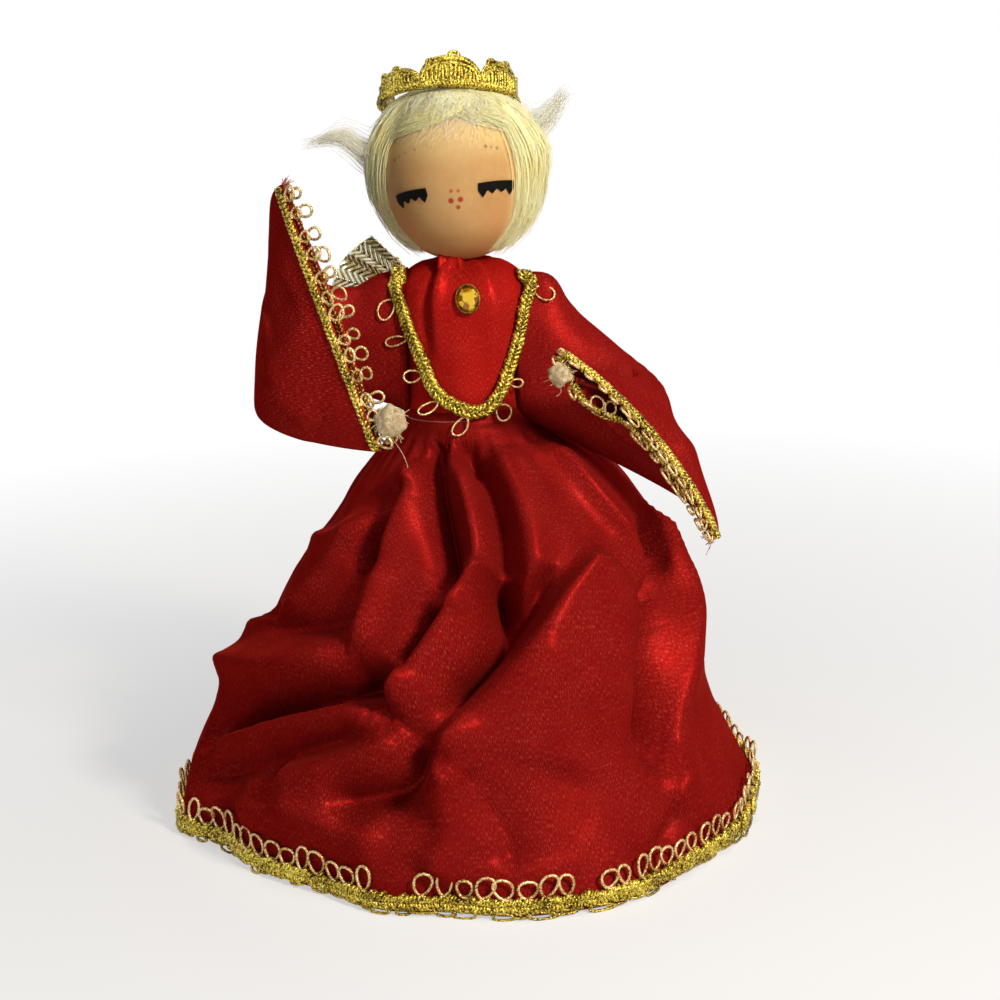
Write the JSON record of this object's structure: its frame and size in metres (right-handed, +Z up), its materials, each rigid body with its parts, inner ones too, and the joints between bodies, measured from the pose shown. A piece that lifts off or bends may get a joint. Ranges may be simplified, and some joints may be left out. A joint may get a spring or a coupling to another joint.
{
  "type": "doll ornament",
  "caption": "Standing angel doll ornament: ball head with wig and crown, satin gown with looped gold braid over a card cone, foil wings and bell sleeves on wire arms.",
  "frame": {"origin": "middle of the hem at floor level", "axes": "+Z up, -Y the way the doll faces, +X the doll's left"},
  "size_m": [0.1609, 0.1608, 0.2058],
  "materials": {
    "card": "plain card",
    "padding": "matt paper pulp",
    "stick": "plain",
    "spun_cotton": "matt, painted",
    "lash_paper": "matt",
    "hair": "soft fibre",
    "gold_braid": "metallic thread",
    "gold_cord": "metallic thread",
    "gem_setting": "foiled",
    "gem": "faceted",
    "thread": "clear thread",
    "gold_foil": "embossed metal foil",
    "wire": "drawn wire",
    "cotton": "torn cotton",
    "satin": "satin"
  },
  "bodies": {
    "body": {"base_cone": "card", "torso": "padding", "neck_dowel": "stick", "head": "spun_cotton", "right_lash": "lash_paper", "left_lash": "lash_paper", "wig": "hair", "right_wisp": "hair", "left_wisp": "hair", "crown_band": "gold_braid", "crown_loops": "gold_cord", "bodice": "satin", "bodice_braid": "gold_braid", "bodice_loops": "gold_cord", "gem_foil": "gem_setting", "gem_stone": "gem", "skirt": "satin", "waist_thread": "thread", "hem_braid": "gold_braid", "hem_loops": "gold_cord", "right_wing": "gold_foil", "left_wing": "gold_foil", "shoulder_wire": "wire"},
    "right_arm": {"right_arm_wire": "wire", "right_hand": "cotton", "right_sleeve": "satin", "right_sleeve_front_braid": "gold_braid", "right_sleeve_back_braid": "gold_braid", "right_sleeve_front_loops": "gold_cord", "right_sleeve_back_loops": "gold_cord"},
    "left_arm": {"left_arm_wire": "wire", "left_hand": "cotton", "left_sleeve": "satin", "left_sleeve_front_braid": "gold_braid", "left_sleeve_back_braid": "gold_braid", "left_sleeve_front_loops": "gold_cord", "left_sleeve_back_loops": "gold_cord"}
  },
  "joints": [
    {"name": "right_shoulder", "type": "hinge", "parent": "body", "child": "right_arm", "pos_m": [-0.0215, -0.0029, 0.143], "axis": [0, 1, 0], "range_deg": [-20, 12]},
    {"name": "left_shoulder", "type": "hinge", "parent": "body", "child": "left_arm", "pos_m": [0.0215, -0.0029, 0.143], "axis": [0, -1, 0], "range_deg": [-6, 35]}
  ]
}
